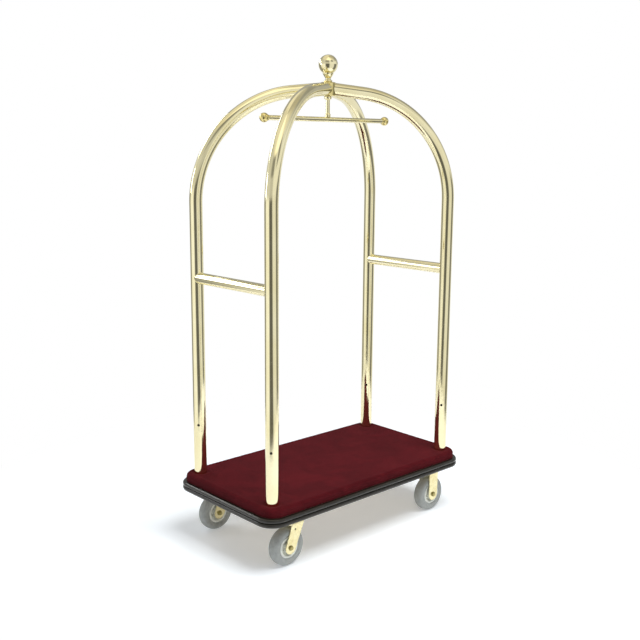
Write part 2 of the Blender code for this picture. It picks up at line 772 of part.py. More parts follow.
def kingpin_mesh():
    """The pin that the swivel fork turns on, fixed in the plate and headed under the crown."""
    head_top = CROWN_BOTTOM - GAP
    profile = [
        (0, PLATE_TOP - GAP),
        (KINGPIN_RADIUS, PLATE_TOP - GAP),
        (KINGPIN_RADIUS, head_top),
        (0.0120, head_top),
        (0.0120, head_top - 0.006),
        (0.0080, head_top - 0.009),
        (0, head_top - 0.009),
    ]
    return turned(profile, COARSE, closed=False)


def axle_meshes():
    """The sleeve, bolt and nut of an axle along Y. The bolt's head is on the +Y side."""
    lay = turn(-90, "X")
    reach = FORK_HALF_GAP - GAP
    bore = AXLE_RADIUS + GAP
    outside = [(SLEEVE_RADIUS, reach), (SLEEVE_RADIUS, -reach)]
    sleeve = turned([(bore, reach), *outside, (bore, -reach)], COARSE)
    sleeve.transform(lay)
    seat = FORK_HALF_GAP + FORK_SHEET + GAP
    shank = cylinder(AXLE_RADIUS - GAP, -BOLT_HEAD / 2, 2 * seat + BOLT_END, COARSE)
    bolt = joined(cylinder(HEXAGON_RADIUS, -BOLT_HEAD, 0, 6), [(shank, None)])
    bolt.transform(move(y=seat) @ turn(90, "X"))
    nut_bore = cylinder(bore, -CUT_PAST, AXLE_NUT + CUT_PAST, COARSE)
    nut = cut(cylinder(HEXAGON_RADIUS, 0, AXLE_NUT, 6), [(nut_bore, None)])
    nut.transform(move(y=-seat) @ turn(90, "X"))
    return sleeve, bolt, nut


def make_casters():
    tyre, wheel_hub = make_wheel_meshes()
    sleeve, bolt, nut = axle_meshes()
    swivel_plate, rigid_plate = plate_mesh(True), plate_mesh(False)
    swivel_fork, rigid_fork = swivel_fork_mesh(), rigid_fork_mesh()
    race, bearing, kingpin = race_mesh(), bearing_mesh(), kingpin_mesh()
    for end, sx in ENDS.items():
        for side, sy in SIDES.items():
            corner = f"{end}_{side}"
            rear = end == "rear"
            centre = add_axis(f"caster_{corner}", (sx * AXLE_X + rear * TRAIL, sy * AXLE_Y, 0))
            axle = add_axis(f"axle_{corner}", (-rear * TRAIL, 0, WHEEL_RADIUS), centre)
            plate = swivel_plate if rear else rigid_plate
            fork = swivel_fork if rear else rigid_fork
            add_part(f"caster_plate_{corner}", plate.copy(), PLATED, centre)
            add_part(f"fork_{corner}", fork.copy(), PLATED, centre)
            if rear:
                add_part(f"swivel_race_{corner}", race.copy(), PLATED, centre)
                add_part(f"swivel_bearing_{corner}", bearing.copy(), STEEL, centre)
                add_part(f"kingpin_{corner}", kingpin.copy(), STEEL, centre)
            add_part(f"tyre_{corner}", tyre.copy(), RUBBER, axle)
            add_part(f"wheel_hub_{corner}", wheel_hub.copy(), HUB_PLASTIC, axle)
            head_out = turn(0 if sy > 0 else 180, "Z")
            add_part(f"axle_sleeve_{corner}", sleeve.copy(), STEEL, axle)
            add_part(f"axle_bolt_{corner}", bolt.copy(), STEEL, axle, head_out)
            add_part(f"axle_nut_{corner}", nut.copy(), STEEL, axle, head_out)


make_board()
make_panel()
make_carpet()
make_bumper()
make_hoops()
make_end_rails()
make_leg_fixings()
make_crown()
make_finial()
make_hanger()
make_casters()
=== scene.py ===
"""The looks of a birdcage luggage cart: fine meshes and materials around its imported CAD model.

Metres, +Z up. +X is the cart's front, and the camera looks at its rear right corner.
"""

import json
from math import acos, asin, atan2, copysign, cos, degrees, hypot, pi, radians, sin, sqrt, tan

import bmesh
import bpy
from mathutils import Matrix, Vector, noise


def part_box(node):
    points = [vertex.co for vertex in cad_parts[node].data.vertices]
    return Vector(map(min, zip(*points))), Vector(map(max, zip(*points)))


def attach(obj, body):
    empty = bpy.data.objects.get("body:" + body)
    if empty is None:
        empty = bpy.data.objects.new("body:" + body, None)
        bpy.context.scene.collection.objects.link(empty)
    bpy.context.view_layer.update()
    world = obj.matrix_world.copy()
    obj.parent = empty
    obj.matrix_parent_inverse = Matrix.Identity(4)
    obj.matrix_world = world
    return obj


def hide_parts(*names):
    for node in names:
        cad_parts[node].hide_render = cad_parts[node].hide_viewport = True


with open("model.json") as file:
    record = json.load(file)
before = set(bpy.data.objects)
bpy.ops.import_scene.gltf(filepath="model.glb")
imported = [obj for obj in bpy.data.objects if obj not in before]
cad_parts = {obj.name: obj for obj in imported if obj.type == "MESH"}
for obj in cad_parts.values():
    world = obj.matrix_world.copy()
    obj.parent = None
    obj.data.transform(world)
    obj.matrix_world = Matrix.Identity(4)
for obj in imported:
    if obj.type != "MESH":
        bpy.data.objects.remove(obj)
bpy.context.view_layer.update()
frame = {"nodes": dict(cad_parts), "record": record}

ENDS = {"front": 1, "rear": -1}
SIDES = {"left": 1, "right": -1}
CORNERS = {f"{end}_{side}": (sx, sy) for end, sx in ENDS.items() for side, sy in SIDES.items()}


# ---- places, read from the frame


def middle(node):
    low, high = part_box(node)
    return (low + high) / 2


def half_size(node):
    low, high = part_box(node)
    return (high - low) / 2


CLEARANCE = 0.0004  # what parts that would lie in one face are kept apart by
ROD_BORE = 0.0064  # radius of the hole for the crown's tie rod

LEG = middle("leg_spigot_front_left")
DIAGONAL = hypot(LEG.x, LEG.y)
HOOP_ANGLE = atan2(LEG.y, LEG.x)
TUBE_RADIUS = 0.0254
HOOP_SPRING = 1.3465  # height where each bend begins
HOOP_BEND = 0.428
BEND_ANGLE = radians(84)  # past it the tube climbs straight to the crown
HOOP_TOP = middle("crown_hub").z + 0.0025
HUB_RADIUS = half_size("crown_hub").x
RAIL_HEIGHT = middle("end_rail_front").z
RAIL_RADIUS = half_size("end_rail_front").z
DECK_LOW, DECK_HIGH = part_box("base_board")
CARPET_LOW, CARPET_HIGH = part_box("carpet")
BUMPER_LOW, BUMPER_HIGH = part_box("bumper")
DECK_CORNER = 0.058  # the base board's corner radius
LOCK_SCREW_HEIGHT = 0.466
LOCK_SCREW_ANGLE = 222

WHEEL_RADIUS = half_size("tyre_front_left").z
TYRE_HALF = half_size("tyre_front_left").y
RIM_RADIUS = half_size("wheel_hub_front_left").z
FORK_HALF = half_size("fork_front_left").y
FORK_SHEET = 0.003
AXLE_HOLE = 0.0054
PLATE_SCREWS = [(sx * 0.040, sy * 0.031) for sx in (1, -1) for sy in (1, -1)]


# ---- mesh tools


def new_object(name, mesh):
    obj = bpy.data.objects.new(name, mesh)
    bpy.context.scene.collection.objects.link(obj)
    return obj


def mesh_from(points, faces):
    mesh = bpy.data.meshes.new("mesh")
    mesh.from_pydata([tuple(p) for p in points], [], faces)
    mesh.update()
    return mesh


def fix_normals(mesh):
    work = bmesh.new()
    work.from_mesh(mesh)
    bmesh.ops.remove_doubles(work, verts=work.verts, dist=1e-6)
    bmesh.ops.recalc_face_normals(work, faces=work.faces)
    work.to_mesh(mesh)
    work.free()
    return mesh


def baked(obj):
    """The object's mesh with its modifiers applied, in world space. The object is removed."""
    bpy.context.view_layer.update()
    evaluated = obj.evaluated_get(bpy.context.evaluated_depsgraph_get())
    mesh = bpy.data.meshes.new_from_object(evaluated)
    mesh.transform(obj.matrix_world)
    bpy.data.objects.remove(obj)
    return fix_normals(mesh)


def round_way(steps):
    """The cosine and sine of equal steps round a circle."""
    return [(cos(2 * pi * k / steps), sin(2 * pi * k / steps)) for k in range(steps)]


def skin(rings, sides, closed=False):
    """The faces between rings of points, each ring with as many points as there are sides."""
    faces = []
    for i in range(rings if closed else rings - 1):
        j = (i + 1) % rings
        for k in range(sides):
            n = (k + 1) % sides
            faces.append((i * sides + k, i * sides + n, j * sides + n, j * sides + k))
    return faces


def softened(points, radius, closed=True, steps=3):
    """A 2D outline with each corner rounded off by up to radius."""
    result = []
    count = len(points)
    for i, corner in enumerate(points):
        if not closed and i in (0, count - 1):
            result.append(corner)
            continue
        here = Vector(corner)
        before, after = Vector(points[i - 1]), Vector(points[(i + 1) % count])
        reach = min(radius, 0.45 * (before - here).length, 0.45 * (after - here).length)
        start = here + (before - here).normalized() * reach
        end = here + (after - here).normalized() * reach
        for k in range(steps + 1):
            t = k / steps
            result.append(tuple((1 - t) ** 2 * start + 2 * t * (1 - t) * here + t**2 * end))
    return result


def lathe(profile, steps=64, closed=False):
    """A mesh turned about Z from (radius, z) points. An open profile starts and ends on the axis."""
    points, rings = [], []
    for radius, z in profile:
        if radius < 1e-6:
            rings.append([len(points)] * steps)
            points.append((0, 0, z))
            continue
        rings.append(list(range(len(points), len(points) + steps)))
        points += [(radius * c, radius * s, z) for c, s in round_way(steps)]
    faces = []
    pairs = list(zip(rings, rings[1:])) + ([(rings[-1], rings[0])] if closed else [])
    for upper, lower in pairs:
        for k in range(steps):
            corners = [upper[k], upper[(k + 1) % steps], lower[(k + 1) % steps], lower[k]]
            kept = list(dict.fromkeys(corners))
            if len(kept) > 2:
                faces.append(kept)
    return fix_normals(mesh_from(points, faces))


def turned(outline, rounding, steps, closed=True, corner_steps=3):
    """A mesh turned about Z from an outline whose corners are rounded off first."""
    return lathe(softened(outline, rounding, closed, corner_steps), steps, closed)


def swept_tube(path, across, radius, sides=48):
    """A round tube along a path that lies in one plane, whose normal is across."""
    across = Vector(across).normalized()
    points = []
    path = [Vector(p) for p in path]
    last = len(path) - 1
    for i, place in enumerate(path):
        tangent = (path[min(i + 1, last)] - path[max(i - 1, 0)]).normalized()
        up = tangent.cross(across)
        points += [place + radius * (c * across + s * up) for c, s in round_way(sides)]
    return mesh_from(points, skin(len(path), sides))


def rounded_path(half_x, half_y, corner, corner_steps, straight_step):
    """Points round a rounded rectangle, anticlockwise, each with its outward direction."""
    found = []
    quarters = [(1, 1), (-1, 1), (-1, -1), (1, -1)]
    for q, (sx, sy) in enumerate(quarters):
        centre = Vector((sx * (half_x - corner), sy * (half_y - corner), 0))
        for k in range(corner_steps + 1):
            a = pi / 2 * (q + k / corner_steps)
            out = Vector((cos(a), sin(a), 0))
            found.append((centre + out * corner, out))
        nx, ny = quarters[(q + 1) % 4]
        start = found[-1][0]
        end = Vector((nx * (half_x - corner), ny * (half_y - corner), 0)) + found[-1][1] * corner
        pieces = max(2, round((end - start).length / straight_step))
        found += [(start.lerp(end, k / pieces), found[-1][1]) for k in range(1, pieces)]
    return found


def ring_sweep(profile, path, z):
    """A closed (outward, up) profile carried round a path."""
    points = []
    for place, out in path:
        points += [place + out * u + Vector((0, 0, z + v)) for u, v in profile]
    return fix_normals(mesh_from(points, skin(len(path), len(profile), closed=True)))


def plate(outlines, thickness, edge=0.0004):
    """A flat plate with rounded edges, centred on the XY plane: an outline, then its holes."""
    curve = bpy.data.curves.new("plate", "CURVE")
    curve.dimensions = "2D"
    curve.fill_mode = "BOTH"
    for outline in outlines:
        spline = curve.splines.new("POLY")
        spline.points.add(len(outline) - 1)
        for point, (x, y) in zip(spline.points, outline):
            point.co = (x, y, 0, 1)
        spline.use_cyclic_u = True
    curve.extrude = thickness / 2 - edge
    curve.bevel_depth = edge
    curve.bevel_resolution = 1
    curve.offset = -edge
    return baked(new_object("plate", curve))


def merged(*parts):
    """One mesh of several parts, each a mesh or a (mesh, matrix) pair."""
    work = bmesh.new()
    for part in parts:
        mesh, matrix = part if isinstance(part, tuple) else (part, Matrix())
        copy = mesh.copy()
        copy.transform(matrix)
        work.from_mesh(copy)
        bpy.data.meshes.remove(copy)
    result = bpy.data.meshes.new("merged")
    work.to_mesh(result)
    work.free()
    return result


def bored(mesh, cutters):
    """The mesh less each cutter mesh."""
    obj = new_object("bored", mesh)
    tools = [new_object("cutter", cutter) for cutter in cutters]
    for tool in tools:
        boolean = obj.modifiers.new("cut", "BOOLEAN")
        boolean.operation = "DIFFERENCE"
        boolean.object = tool
    result = baked(obj)
    for tool in tools:
        bpy.data.objects.remove(tool)
    return result


def add_bevel(obj, width, angle=30):
    """A bevel over the edges that are sharper than an angle in degrees."""
    bevel = obj.modifiers.new("edge", "BEVEL")
    bevel.width = width
    bevel.segments = 2
    bevel.limit_method = "ANGLE"
    bevel.angle_limit = radians(angle)


def move(x=0.0, y=0.0, z=0.0):
    return Matrix.Translation((x, y, z))


def turn(angle, axis):
    return Matrix.Rotation(radians(angle), 4, axis)


def piece(name, mesh, look, body="cart", replaces=(), place=None, sharp=35, weighted=True):
    """Adds a finished piece that rides on a body."""
    if place is not None:
        mesh.transform(place)
    mesh.name = name
    mesh.materials.clear()
    mesh.materials.append(look.material)
    mesh.shade_smooth()
    mesh.set_sharp_from_angle(angle=radians(sharp))
    obj = new_object(name, mesh)
    if weighted:
        normals = obj.modifiers.new("normals", "WEIGHTED_NORMAL")
        normals.keep_sharp = True
    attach(obj, body)
    if replaces:
        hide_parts(*replaces)
    return obj


# ---- materials


class Tree:
    """Adds shader nodes to a node tree. Sockets are given by name or number."""

    def __init__(self, tree):
        self.tree = tree

    def node(self, kind, inputs=(), output=0, **settings):
        made = self.tree.nodes.new("ShaderNode" + kind)
        for key, value in settings.items():
            setattr(made, key, value)
        for key, value in dict(inputs).items():
            self.feed(made.inputs[key], value)
        return made.outputs[output] if output is not None else made

    def feed(self, socket, value):
        if isinstance(value, bpy.types.NodeSocket):
            self.tree.links.new(value, socket)
        else:
            socket.default_value = value


class Look(Tree):
    """A material while it is being put together."""

    def __init__(self, name, **shader):
        self.material = bpy.data.materials.new(name)
        self.material.use_nodes = True
        super().__init__(self.material.node_tree)
        self.shader = self.tree.nodes["Principled BSDF"].inputs
        for key, value in shader.items():
            self.shader[key.replace("_", " ")].default_value = value
        self.place = self.node("TexCoord", output="Object")

    def stretched(self, scale):
        return self.node("Mapping", {"Vector": self.place, "Scale": scale})

    def noise(self, scale, detail=3.0, roughness=0.5, stretch=None, distortion=0.0):
        inputs = {"Vector": self.stretched(stretch) if stretch else self.place, "Scale": scale}
        inputs |= {"Detail": detail, "Roughness": roughness, "Distortion": distortion}
        return self.node("TexNoise", inputs, "Fac")

    def cells(self, scale):
        return self.node("TexVoronoi", {"Vector": self.place, "Scale": scale}, "Distance")

    def ramp(self, factor, *stops):
        """Colours or numbers at (position, value) stops."""
        made = self.node("ValToRGB", {"Fac": factor}, None)
        elements = made.color_ramp.elements
        while len(elements) < len(stops):
            elements.new(0.5)
        for element, (position, value) in zip(elements, stops):
            element.position = position
            element.color = (*value, 1) if isinstance(value, tuple) else (value, value, value, 1)
        return made.outputs["Color"]

    def mix(self, factor, first, second, blend="MIX"):
        tones = [(*tone, 1) if isinstance(tone, tuple) else tone for tone in (first, second)]
        inputs = {0: factor, 6: tones[0], 7: tones[1]}
        return self.node("Mix", inputs, 2, data_type="RGBA", blend_type=blend)

    def shade(self, tone, level, factor=1.0):
        """A tone multiplied by a level."""
        return self.mix(factor, tone, level, "MULTIPLY")

    def bump(self, *layers):
        """Bump from (height, distance, strength) layers."""
        normal = None
        for level, distance, strength in layers:
            inputs = {"Height": level, "Distance": distance, "Strength": strength}
            if normal:
                inputs["Normal"] = normal
            normal = self.node("Bump", inputs)
        self.feed(self.shader["Normal"], normal)

    def colour(self, value):
        self.feed(self.shader["Base Color"], value)

    def roughness(self, value):
        self.feed(self.shader["Roughness"], value)


def brass_look(name, bright, deep, smooth, rough):
    """Lacquered brass: cloudy tone, hand smudges, and fine polishing lines."""
    look = Look(name, Metallic=1.0)
    cloud = look.noise(7, 4, 0.55)
    tone = look.mix(look.ramp(cloud, (0.35, 0.0), (0.7, 1.0)), bright, deep)
    specks = look.ramp(look.noise(420, 2), (0.30, 0.86), (0.42, 1.0))
    look.colour(look.shade(tone, specks))
    smudge = look.noise(22, 5, 0.6, distortion=0.6)
    fine = look.noise(900, 2, stretch=(1, 1, 0.12))
    level = look.ramp(smudge, (0.40, smooth), (0.72, rough))
    level = look.node("Math", {0: fine, 1: 0.03, 2: level}, operation="MULTIPLY_ADD")
    look.roughness(level)
    look.bump((look.noise(60, 2), 0.0004, 0.05), (fine, 0.00005, 0.10))
    return look


def plated_look():
    """Brass plating over pressed steel: duller than the tubes, with handling marks."""
    look = Look("plated_steel", Metallic=1.0)
    cloud = look.noise(28, 4, 0.6)
    tone = look.mix(look.ramp(cloud, (0.35, 0.0), (0.68, 1.0)), (0.88, 0.82, 0.51), (0.76, 0.67, 0.36))
    stains = look.ramp(look.noise(75, 5, 0.65), (0.58, 1.0), (0.74, 0.70))
    look.colour(look.shade(tone, stains))
    look.roughness(look.ramp(look.noise(50, 5, 0.6), (0.38, 0.20), (0.70, 0.36)))
    look.bump((look.noise(160, 3), 0.0003, 0.16), (look.noise(900, 2), 0.0001, 0.15))
    return look


def zinc_look():
    """Bright zinc plating, with a faint spangle and dull patches."""
    look = Look("zinc_steel", Metallic=1.0)
    spangle = look.cells(260)
    tone = look.ramp(spangle, (0.0, (0.72, 0.72, 0.70)), (0.6, (0.58, 0.59, 0.60)))
    dull = look.ramp(look.noise(60, 4, 0.6), (0.5, 1.0), (0.75, 0.72))
    look.colour(look.shade(tone, dull))
    look.roughness(look.ramp(look.noise(90, 4), (0.35, 0.24), (0.7, 0.42)))
    look.bump((look.noise(700, 2), 0.0001, 0.2))
    return look


def chromated_look():
    """Yellow chromate over zinc on the axle bolts, uneven and dull."""
    look = Look("chromated_steel", Metallic=1.0)
    cloud = look.ramp(look.noise(140, 4, 0.6), (0.35, 0.0), (0.68, 1.0))
    look.colour(look.mix(cloud, (0.46, 0.40, 0.17), (0.30, 0.27, 0.12)))
    look.roughness(look.ramp(look.noise(260, 4), (0.3, 0.26), (0.7, 0.44)))
    look.bump((look.noise(900, 2), 0.00008, 0.2))
    return look


def blackened_look():
    """Black oxide on small screws, rubbed thin in places."""
    look = Look("blackened_steel", Metallic=1.0)
    worn = look.ramp(look.noise(900, 4, 0.6), (0.55, 0.0), (0.75, 1.0))
    look.colour(look.mix(worn, (0.055, 0.050, 0.040), (0.16, 0.15, 0.12)))
    look.roughness(look.ramp(look.noise(600, 3), (0.3, 0.32), (0.7, 0.48)))
    look.bump((look.noise(1600, 2), 0.00005, 0.2))
    return look


def carpet_look():
    """Short cut pile: tufts with painted shade in the gaps between them, brushed patches, and a little
    lint.
    """
    look = Look("carpet", Roughness=0.95, Sheen_Weight=0.10, Sheen_Roughness=0.45, Specular_IOR_Level=0.10)
    look.shader["Sheen Tint"].default_value = (0.80, 0.20, 0.24, 1)
    tufts = look.cells(430)
    fibres = look.noise(1500, 3, 0.6)
    brushed = look.noise(9, 5, 0.6, distortion=0.8)
    lain = look.ramp(brushed, (0.34, 0.0), (0.68, 1.0))
    base = look.mix(lain, (0.088, 0.0075, 0.0110), (0.133, 0.0106, 0.0155))
    # painted shade: the pile's colour darkens away from each tuft's centre, into the gaps between tufts
    tuft_gap_shade = look.ramp(tufts, (0.0, 1.0), (0.55, 0.62), (0.9, 0.42))
    shaded = look.shade(base, tuft_gap_shade)
    speckled = look.shade(shaded, look.ramp(fibres, (0.32, 0.55), (0.68, 1.45)), 0.55)
    lint = look.ramp(look.noise(310, 2), (0.760, 0.0), (0.785, 0.35))
    look.colour(look.mix(lint, speckled, (0.34, 0.20, 0.20)))
    look.bump((tufts, 0.0012, -0.7), (fibres, 0.0006, 0.8), (brushed, 0.003, 0.12))
    return look


def vinyl_look():
    """Extruded black vinyl, with a fine grain, drag lines along its length and pale scuffs."""
    look = Look("bumper_vinyl", Specular_IOR_Level=0.50)
    drag = look.noise(38, 6, 0.7, stretch=(1, 1, 3), distortion=0.5)
    scuff = look.ramp(drag, (0.60, 0.0), (0.74, 1.0))
    tone = look.mix(look.noise(14, 3), (0.0090, 0.0080, 0.0055), (0.0160, 0.0145, 0.0105))
    look.colour(look.mix(scuff, tone, (0.040, 0.038, 0.033)))
    worn = look.ramp(look.noise(45, 4), (0.3, 0.17), (0.7, 0.27))
    look.roughness(look.mix(scuff, worn, (0.55, 0.55, 0.55)))
    look.bump((look.noise(520, 3), 0.0002, 0.25), (look.noise(30, 3), 0.0010, 0.10))
    return look


def rubber_look():
    """Grey non-marking rubber, dusty and finely specked."""
    look = Look("tyre_rubber", Specular_IOR_Level=0.35)
    dust = look.noise(60, 5, 0.65)
    tone = look.mix(look.ramp(dust, (0.32, 0.0), (0.70, 1.0)), (0.32, 0.335, 0.32), (0.42, 0.43, 0.41))
    specks = look.ramp(look.noise(520, 3), (0.30, 0.72), (0.44, 1.0))
    look.colour(look.shade(tone, specks))
    look.roughness(look.ramp(look.noise(130, 4), (0.3, 0.48), (0.7, 0.68)))
    look.bump((look.noise(340, 3), 0.0004, 0.25), (dust, 0.0010, 0.15))
    return look


def moulded_look():
    """Light grey moulded plastic."""
    look = Look("wheel_plastic", Specular_IOR_Level=0.5)
    cloud = look.ramp(look.noise(45, 4), (0.35, 0.0), (0.7, 1.0))
    tone = look.mix(cloud, (0.74, 0.75, 0.68), (0.84, 0.85, 0.78))
    grime = look.ramp(look.noise(110, 5, 0.65), (0.56, 1.0), (0.76, 0.70))
    look.colour(look.shade(tone, grime))
    look.roughness(look.ramp(look.noise(150, 3), (0.3, 0.36), (0.7, 0.52)))
    look.bump((look.noise(620, 2), 0.0001, 0.25))
    return look


def plywood_look():
    """Birch plywood: long grain on its faces and plies on its edges."""
    look = Look("plywood")
    warp = look.noise(2.2, 3, stretch=(0.35, 2.4, 1))
    inputs = {"Vector": look.stretched((0.35, 3.0, 1)), "Scale": 4.0, "Distortion": 9.0}
    inputs |= {"Detail": 3.0, "Detail Scale": 1.4}
    rings = look.node("TexWave", inputs, "Fac", bands_direction="Y")
    fibre = look.noise(55, 5, 0.65, stretch=(0.06, 3.2, 3.2))
    bands = ((0.0, (0.40, 0.325, 0.235)), (0.55, (0.50, 0.42, 0.31)), (1.0, (0.44, 0.36, 0.26)))
    face = look.mix(warp, look.ramp(rings, *bands), (0.55, 0.46, 0.35))
    look.colour(look.shade(face, look.ramp(fibre, (0.3, 0.6), (0.7, 1.2)), 0.55))
    look.roughness(look.ramp(fibre, (0.3, 0.55), (0.7, 0.75)))
    look.bump((fibre, 0.0004, 0.4))
    return look


BRASS = brass_look("polished_brass", (0.905, 0.845, 0.575), (0.840, 0.765, 0.465), 0.055, 0.135)
TURNED_BRASS = brass_look("turned_brass", (0.800, 0.700, 0.340), (0.670, 0.560, 0.230), 0.080, 0.180)
PLATED = plated_look()
ZINC = zinc_look()
BLACKENED = blackened_look()
CHROMATED = chromated_look()
CARPET = carpet_look()
VINYL = vinyl_look()
RUBBER = rubber_look()
MOULDED = moulded_look()
PLYWOOD = plywood_look()
SLOT_LOOKS = {
    "polished_brass": BRASS,
    "plated_steel": PLATED,
    "zinc_steel": ZINC,
    "carpet": CARPET,
    "bumper_vinyl": VINYL,
    "plywood": PLYWOOD,
    "tyre_rubber": RUBBER,
    "wheel_plastic": MOULDED,
}
SLOT_OF = {look: slot for slot, look in SLOT_LOOKS.items()}
SLOT_OF[TURNED_BRASS] = "polished_brass"
SLOT_OF[BLACKENED] = SLOT_OF[CHROMATED] = "zinc_steel"


def dress_cad_nodes():
    """Gives every CAD node that still shows the look of its own slot."""
    for row in frame["record"]["subparts"]:
        obj = frame["nodes"][row["node"]]
        for holder in obj.material_slots:
            holder.material = SLOT_LOOKS[row["material_slot"]].material


# ---- hoops and end rails


def hoop_path(direction):
    """A hoop tube's centre line from the deck's board up to the crown, as points."""
    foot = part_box("hoop_tube_front_left")[0].z
    legs = 24
    line = [(DIAGONAL, foot + (HOOP_SPRING - foot) * k / legs) for k in range(legs)]
    for k in range(73):
        a = BEND_ANGLE * k / 72
        line.append((DIAGONAL - HOOP_BEND + HOOP_BEND * cos(a), HOOP_SPRING + HOOP_BEND * sin(a)))
    fall = 1 / tan(BEND_ANGLE)
    line += [(d, HOOP_TOP - fall * d) for d in (0.125, 0.105, 0.085, 0.070, 0.055, 0.042, 0.030, 0.0165)]
    return [Vector((direction.x * d, direction.y * d, z)) for d, z in line]


def halved(mesh, keep_side):
    """The part of a mesh on one side of the XZ plane."""
    work = bmesh.new()
    work.from_mesh(mesh)
    geometry = [*work.verts, *work.edges, *work.faces]
    plane = {"plane_co": (0, 0, 0), "plane_no": (0, -keep_side, 0)}
    bmesh.ops.bisect_plane(work, geom=geometry, dist=1e-6, clear_outer=True, **plane)
    work.to_mesh(mesh)
    work.free()
    return mesh


def make_hoops():
    for name, (sx, sy) in CORNERS.items():
        direction = Vector((sx * cos(HOOP_ANGLE), sy * sin(HOOP_ANGLE), 0))
        across = Vector((-direction.y, direction.x, 0))
        mesh = halved(swept_tube(hoop_path(direction), across, TUBE_RADIUS), sy)
        piece(f"hoop_{name}", mesh, BRASS, replaces=[f"hoop_tube_{name}"], weighted=False)


def leg_face(dx):
    """How far out from the cart's middle a leg's inner side is, at dx from the leg's centre line."""
    return LEG.y - sqrt(TUBE_RADIUS**2 - dx**2)


def coped_rail(x, length_steps=40, sides=48):
    """A rail between two legs, whose ends follow the legs' round sides."""
    points = []
    for i in range(length_steps + 1):
        t = 2 * i / length_steps - 1
        for c, s in round_way(sides):
            dx, dz = RAIL_RADIUS * c, RAIL_RADIUS * s
            points.append((x + dx, t * (leg_face(dx) + CLEARANCE), RAIL_HEIGHT + dz))
    return fix_normals(mesh_from(points, skin(length_steps + 1, sides)))


def weld_bead(x, sy):
    """The thin polished weld where a rail meets a leg."""
    steps, sides, bead, ripple, ripples = 72, 10, 0.0013, 0.10, 9
    points = []
    for i, (c, s) in enumerate(round_way(steps)):
        out = Vector((c, 0, s))
        dx = RAIL_RADIUS * c
        centre = Vector((x + dx, sy * leg_face(dx), RAIL_HEIGHT + RAIL_RADIUS * s))
        size = bead * (1 + ripple * sin(ripples * (2 * pi * i / steps)))
        points += [centre + size * (u * out + v * Vector((0, 1, 0))) for u, v in round_way(sides)]
    return fix_normals(mesh_from(points, skin(steps, sides, closed=True)))


def make_end_rails():
    for end, sx in ENDS.items():
        x = sx * LEG.x
        piece(f"rail_{end}", coped_rail(x), BRASS, replaces=[f"end_rail_{end}"], weighted=False)
        for side, sy in SIDES.items():
            piece(f"rail_weld_{end}_{side}", weld_bead(x, sy), BRASS, weighted=False)


def make_lock_screws():
    """A small domed screw through each leg into its spigot."""
    dome = [(0.0021, 0.0024), (0.0046, 0.0016), (0.0056, 0.0), (0.0021, 0.0)]
    socket = softened([(0, 0.0012), (0.0021, 0.0012), (0.0021, 0.0024)], 0.0001, closed=False)
    hexagon = lathe(socket + [(0.0021, 0), (0, 0)], 6)
    head = merged(turned(dome, 0.0006, 32), hexagon)
    for name, (sx, sy) in CORNERS.items():
        place = move(sx * LEG.x, sy * LEG.y, LOCK_SCREW_HEIGHT)
        aim = turn(LOCK_SCREW_ANGLE, "Z") @ turn(90, "Y") @ move(z=TUBE_RADIUS - CLEARANCE)
        piece(f"lock_screw_{name}", head.copy(), BLACKENED, place=place @ aim)


# ---- crown, finial and hanger


def make_crown():
    low, high = (corner.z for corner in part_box("crown_hub"))
    upper = [(ROD_BORE, high), (HUB_RADIUS - 0.004, high), (HUB_RADIUS, high - 0.003)]
    lower = [(HUB_RADIUS, low + 0.003), (HUB_RADIUS - 0.004, low), (ROD_BORE, low)]
    piece("hub", turned(upper + lower, 0.0012, 96), TURNED_BRASS, replaces=["crown_hub"])


def make_finial():
    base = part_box("finial_base")[0].z
    radius = half_size("finial_ball").x
    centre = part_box("finial_ball")[1].z - radius
    seat_radius = 0.0195
    rim = centre - sqrt(radius**2 - seat_radius**2)
    outline = [
        (ROD_BORE, base + 0.008), (0.0100, base + 0.019), (seat_radius - 0.0015, rim - 0.0015),
        (seat_radius, rim + 0.0012), (0.0214, rim - 0.0002), (0.0208, rim - 0.0045),
        (0.0150, base + 0.0205), (0.0112, base + 0.0155), (0.0103, base + 0.0125),
        (0.0104, base + 0.0105), (0.0142, base + 0.0075), (0.0170, base + 0.0058),
        (0.0170, base + 0.0024), (0.0150, base + 0.0008), (0.0150, base), (ROD_BORE, base),
    ]
    cup = turned(outline, 0.0016, 96, corner_steps=4)
    piece("finial_cup", cup, BRASS, replaces=["finial_base"])
    profile = [(radius * sin(pi * k / 64), centre + radius * cos(pi * k / 64)) for k in range(65)]
    piece("finial_globe", lathe(profile, 96), BRASS, replaces=["finial_ball"], weighted=False)


